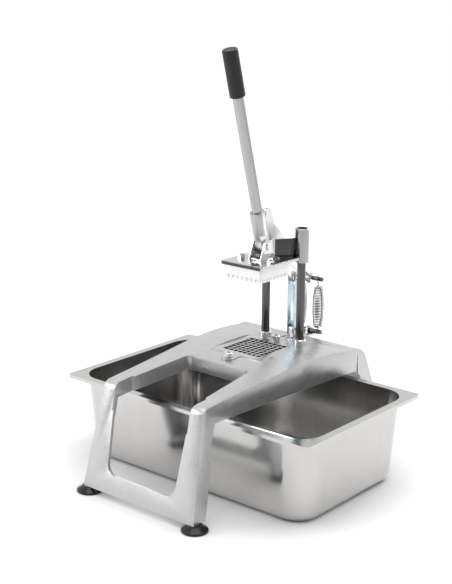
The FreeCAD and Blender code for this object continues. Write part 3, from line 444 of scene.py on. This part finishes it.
# How near points are made one, which triangles count as one flat face, which edges count as sharp, and how
# many faces go round a bevelled edge
mergeReach = 0.00001
flatAngle = math.radians(0.5)
sharpAngle = math.radians(32.0)
bevelSteps = 3


# Copy of a CAD node with its loose triangles merged, ready for its own modifiers
def mergedCopy(name):
    source = nodes[name]
    mesh = source.data.copy()
    piece = bpy.data.objects.new(name + "_soft", mesh)
    scene.collection.objects.link(piece)
    work = bmesh.new()
    work.from_mesh(mesh)
    bmesh.ops.remove_doubles(work, verts=work.verts, dist=mergeReach)
    bmesh.ops.dissolve_limit(work, angle_limit=flatAngle, verts=work.verts, edges=work.edges)
    work.to_mesh(mesh)
    work.free()
    mesh.polygons.foreach_set("use_smooth", np.ones(len(mesh.polygons), dtype=bool))
    mesh.materials.clear()
    mesh.materials.append(finishes[nodeFinish[name]])
    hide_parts(name)
    return piece


def softenEdges(piece, width, method="ANGLE"):
    bevel = piece.modifiers.new("softEdges", "BEVEL")
    bevel.width = width
    bevel.segments = bevelSteps
    bevel.limit_method = method
    bevel.angle_limit = sharpAngle
    bevel.harden_normals = True


# Share of the bevel width that the casting's inner edges get, and the limits of a face normal's sideward and
# upward parts by which its outer edges are told
castingEdges = {
    "smallShare": 0.42,
    "outward": 0.8,
    "inward": -0.2,
    "downward": -0.4,
}


# Edge weights for the casting: every sharp edge gets the small share, and those where an outward side face
# meets a face that looks neither inward nor down get the full width
def weighCastingEdges(piece, limits):
    mesh = piece.data
    loopEdges = np.empty(len(mesh.loops), dtype=int)
    mesh.loops.foreach_get("edge_index", loopEdges)
    totals = np.empty(len(mesh.polygons), dtype=int)
    mesh.polygons.foreach_get("loop_total", totals)
    normals = np.empty(len(mesh.polygons) * 3)
    mesh.polygons.foreach_get("normal", normals)
    normals = normals.reshape(-1, 3)
    centres = np.empty(len(mesh.polygons) * 3)
    mesh.polygons.foreach_get("center", centres)
    centres = centres.reshape(-1, 3)
    faceOfLoop = np.repeat(np.arange(len(totals)), totals)
    order = np.argsort(loopEdges, kind="stable")
    edges, first, counts = np.unique(loopEdges[order], return_index=True, return_counts=True)
    whole = counts == 2
    one = faceOfLoop[order[first[whole]]]
    other = faceOfLoop[order[first[whole] + 1]]
    sharp = np.einsum("ij,ij->i", normals[one], normals[other]) < math.cos(sharpAngle)
    sideward = normals[:, 0] * np.sign(centres[:, 0])
    outer = np.maximum(sideward[one], sideward[other]) > limits["outward"]
    outer &= np.minimum(sideward[one], sideward[other]) > limits["inward"]
    outer &= np.minimum(normals[one, 2], normals[other, 2]) > limits["downward"]
    weights = np.zeros(len(mesh.edges))
    weights[edges[whole]] = np.where(sharp, np.where(outer, 1.0, limits["smallShare"]), 0.0)
    layer = mesh.attributes.new("bevel_weight_edge", "FLOAT", "EDGE")
    layer.data.foreach_set("value", weights)


# Bevel width of each softened piece in metres
softEdges = {
    "frame_casting": 0.0055,
    "head_plate": 0.0006,
    "lever_casting": 0.0012,
    "head_bracket": 0.0005,
    "link_channel": 0.0004,
    "rear_lug": 0.0006,
    "knife_frame": 0.0006,
}
for nodeName, width in softEdges.items():
    softPiece = mergedCopy(nodeName)
    if nodeName == "frame_casting":
        weighCastingEdges(softPiece, castingEdges)
        softenEdges(softPiece, width, "WEIGHT")
    else:
        softenEdges(softPiece, width)
    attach(softPiece, nodes[nodeName]["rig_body"])
print("edges softened")


# Round tube swept along a line of points. The first direction across is the line's direction crossed with a
# fixed side direction, the second is the line's direction crossed with the first, and each ring is the point
# plus the radius times the cosine of the turn along the first and the sine along the second
def sweptTube(name, line, radius, side, around=10):
    count = len(line)
    along = np.gradient(line, axis=0)
    along /= np.linalg.norm(along, axis=1, keepdims=True)
    first = np.cross(along, side)
    first /= np.linalg.norm(first, axis=1, keepdims=True)
    second = np.cross(along, first)
    turn = np.linspace(0.0, 2.0 * math.pi, around, endpoint=False)
    ring = first[:, None, :] * np.cos(turn)[None, :, None]
    ring = ring + second[:, None, :] * np.sin(turn)[None, :, None]
    points = line[:, None, :] + radius * ring
    here = np.arange(count - 1)[:, None] * around + np.arange(around)[None, :]
    beside = np.arange(count - 1)[:, None] * around + (np.arange(around)[None, :] + 1) % around
    faces = np.stack([here, beside, beside + around, here + around], axis=-1).reshape(-1, 4)
    mesh = bpy.data.meshes.new(name)
    bottom = list(range(around - 1, -1, -1))
    top = [(count - 1) * around + index for index in range(around)]
    mesh.from_pydata(points.reshape(-1, 3).tolist(), [], faces.tolist() + [bottom, top])
    mesh.polygons.foreach_set("use_smooth", np.ones(len(mesh.polygons), dtype=bool))
    mesh.update()
    piece = bpy.data.objects.new(name, mesh)
    scene.collection.objects.link(piece)
    return piece


# Return spring: radii and drops in metres, angles of the ring round the lower bar in radians
springShape = {
    "wire": 0.00085,
    "ringRadius": 0.0049,
    "ringPoints": 30,
    "ringFrom": 0.5 * math.pi,
    "ringTo": -1.45 * math.pi,
    "ringDrop": 0.0073,
    "endRadius": 0.0058,
    "middleRadius": 0.0100,
    "swellPower": 0.6,
    "endTurnShare": 1.4,
    "turns": 26,
    "pointsPerTurn": 22,
    "sideDirection": (0.02, 0.05, 1.0),
}


# Barrel-wound spring: the coil's radius grows from each end to the middle as a half wave to the swell power,
# and one line runs from the ring round the lower bar up through the coil to the axis under the upper hook
def springLine(x, bar, topZ, shape):
    ringTurn = np.linspace(shape["ringFrom"], shape["ringTo"], shape["ringPoints"])
    ring = np.stack([np.full(shape["ringPoints"], x), bar.y + shape["ringRadius"] * np.cos(ringTurn),
                     bar.z + shape["ringRadius"] * np.sin(ringTurn)], axis=1)[::-1]
    share = np.linspace(0.0, 1.0, shape["turns"] * shape["pointsPerTurn"])
    swell = np.sin(math.pi * share) ** shape["swellPower"]
    endFade = np.minimum(1.0, np.minimum(share, 1.0 - share) * shape["turns"] * shape["endTurnShare"])
    radius = (shape["endRadius"] + (shape["middleRadius"] - shape["endRadius"]) * swell) * endFade
    angle = 2.0 * math.pi * shape["turns"] * share
    lowZ = bar.z + shape["ringDrop"]
    coil = np.stack([x + radius * np.cos(angle), bar.y + radius * np.sin(angle),
                     lowZ + (topZ - lowZ) * share], axis=1)
    return np.concatenate([ring, coil])


def makeSpring(side, shape):
    node = "return_spring_" + side
    springLow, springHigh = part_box(node)
    barLow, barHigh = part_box("spring_bar_lower")
    bar = (barLow + barHigh) / 2.0
    middleX = (springLow.x + springHigh.x) / 2.0
    line = springLine(middleX, bar, springHigh.z - shape["wire"], shape)
    piece = sweptTube("spring_" + side, line, shape["wire"], np.array(shape["sideDirection"]))
    piece.data.materials.append(finishes["springSteel"])
    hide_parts(node)
    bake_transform(piece)


for side in ("left", "right"):
    makeSpring(side, springShape)
print("springs wound")


# Floor that looks white to the camera and keeps the shadow: it is lit, and a share of glow for camera rays
# is darkened by ambient occlusion close to the object, a painted contact shadow
floorLook = {
    "halfSize": 60.0,
    "grey": 0.9,
    "glow": 1.30,
    "glowShare": 0.45,
    "shadeSamples": 12,
    "shadeReach": 0.16,
    "shadeDepth": 1.6,
}


def makeFloor(look):
    mesh = bpy.data.meshes.new("tableTop")
    size = look["halfSize"]
    mesh.from_pydata([(-size, -size, 0.0), (size, -size, 0.0), (size, size, 0.0), (-size, size, 0.0)], [],
                     [(0, 1, 2, 3)])
    floor = bpy.data.objects.new("tableTop", mesh)
    scene.collection.objects.link(floor)
    material = bpy.data.materials.new("tableWhite")
    material.use_nodes = True
    tree = material.node_tree
    tree.nodes.clear()
    output = tree.nodes.new("ShaderNodeOutputMaterial")
    lit = addNode(tree, "ShaderNodeBsdfDiffuse", Color=grey(look["grey"]))
    glow = addNode(tree, "ShaderNodeEmission", Strength=look["glow"])
    # Painted contact shadow: ambient occlusion darkens the floor's glow near the object
    paintedContactShadow = addNode(tree, "ShaderNodeAmbientOcclusion", samples=look["shadeSamples"],
                       Distance=look["shadeReach"])
    deepen = addNode(tree, "ShaderNodeGamma", Gamma=look["shadeDepth"])
    path = addNode(tree, "ShaderNodeLightPath")
    share = addNode(tree, "ShaderNodeMath", operation="MULTIPLY")
    share.inputs[1].default_value = look["glowShare"]
    mix = addNode(tree, "ShaderNodeMixShader")
    joinSockets(
        tree,
        (paintedContactShadow.outputs["Color"], deepen.inputs["Color"]),
        (deepen.outputs["Color"], glow.inputs["Color"]),
        (path.outputs["Is Camera Ray"], share.inputs[0]), (share.outputs["Value"], mix.inputs["Fac"]),
        (lit.outputs["BSDF"], mix.inputs[1]), (glow.outputs["Emission"], mix.inputs[2]),
        (mix.outputs["Shader"], output.inputs["Surface"]))
    mesh.materials.append(material)


# White tent: bright overhead, darker towards the horizon on one side so that polished steel shows contrast
tentLook = {
    "darkFrom": 0.30,
    "brightFrom": 0.72,
    "darkColour": (0.16, 0.16, 0.17, 1.0),
    "brightColour": (1.0, 1.0, 1.0, 1.0),
    "direction": (-0.35, 0.45, 0.82),
    "strength": 1.0,
}


def makeWorld(look):
    world = bpy.data.worlds.new("whiteTent")
    scene.world = world
    world.use_nodes = True
    tree = world.node_tree
    tree.nodes.clear()
    output = tree.nodes.new("ShaderNodeOutputWorld")
    place = addNode(tree, "ShaderNodeTexCoord")
    ramp = addNode(tree, "ShaderNodeValToRGB")
    ramp.color_ramp.elements[0].position = look["darkFrom"]
    ramp.color_ramp.elements[0].color = look["darkColour"]
    ramp.color_ramp.elements[1].position = look["brightFrom"]
    ramp.color_ramp.elements[1].color = look["brightColour"]
    shift = addNode(tree, "ShaderNodeMapRange")
    shift.inputs["From Min"].default_value = -1.0
    shift.inputs["From Max"].default_value = 1.0
    tilt = addNode(tree, "ShaderNodeVectorMath", operation="DOT_PRODUCT")
    tilt.inputs[1].default_value = look["direction"]
    tent = addNode(tree, "ShaderNodeBackground", Strength=look["strength"])
    white = addNode(tree, "ShaderNodeBackground", Color=grey(1.0), Strength=1.0)
    path = addNode(tree, "ShaderNodeLightPath")
    mix = addNode(tree, "ShaderNodeMixShader")
    joinSockets(
        tree,
        (place.outputs["Generated"], tilt.inputs[0]), (tilt.outputs["Value"], shift.inputs["Value"]),
        (shift.outputs["Result"], ramp.inputs["Fac"]), (ramp.outputs["Color"], tent.inputs["Color"]),
        (path.outputs["Is Camera Ray"], mix.inputs["Fac"]), (tent.outputs["Background"], mix.inputs[1]),
        (white.outputs["Background"], mix.inputs[2]), (mix.outputs["Shader"], output.inputs["Surface"]))


# Softboxes: place and aim in metres, width and height, power in watts
softboxes = {
    "overheadBox": {"place": (0.1, -0.1, 2.3), "aim": (0.0, 0.0, 0.2), "size": (1.8, 1.8), "power": 19.0},
    "leftBox": {"place": (-1.6, -1.7, 1.1), "aim": (0.0, 0.0, 0.25), "size": (0.7, 1.6), "power": 21.0},
    "rightBox": {"place": (1.9, 0.3, 1.2), "aim": (0.0, 0.0, 0.2), "size": (0.9, 1.2), "power": 3.0},
    "backBox": {"place": (0.35, 1.9, 1.7), "aim": (0.0, 0.0, 0.2), "size": (1.0, 1.0), "power": 24.0},
}


def makeSoftbox(name, look):
    data = bpy.data.lights.new(name, "AREA")
    data.shape = "RECTANGLE"
    data.size, data.size_y = look["size"]
    data.energy = look["power"]
    lamp = bpy.data.objects.new(name, data)
    lamp.location = look["place"]
    towards = Vector(look["aim"]) - Vector(look["place"])
    lamp.rotation_euler = towards.to_track_quat("-Z", "Y").to_euler()
    scene.collection.objects.link(lamp)


makeFloor(floorLook)
makeWorld(tentLook)
for boxName, boxLook in softboxes.items():
    makeSoftbox(boxName, boxLook)
print("stage and lights")

bpy.context.view_layer.update()
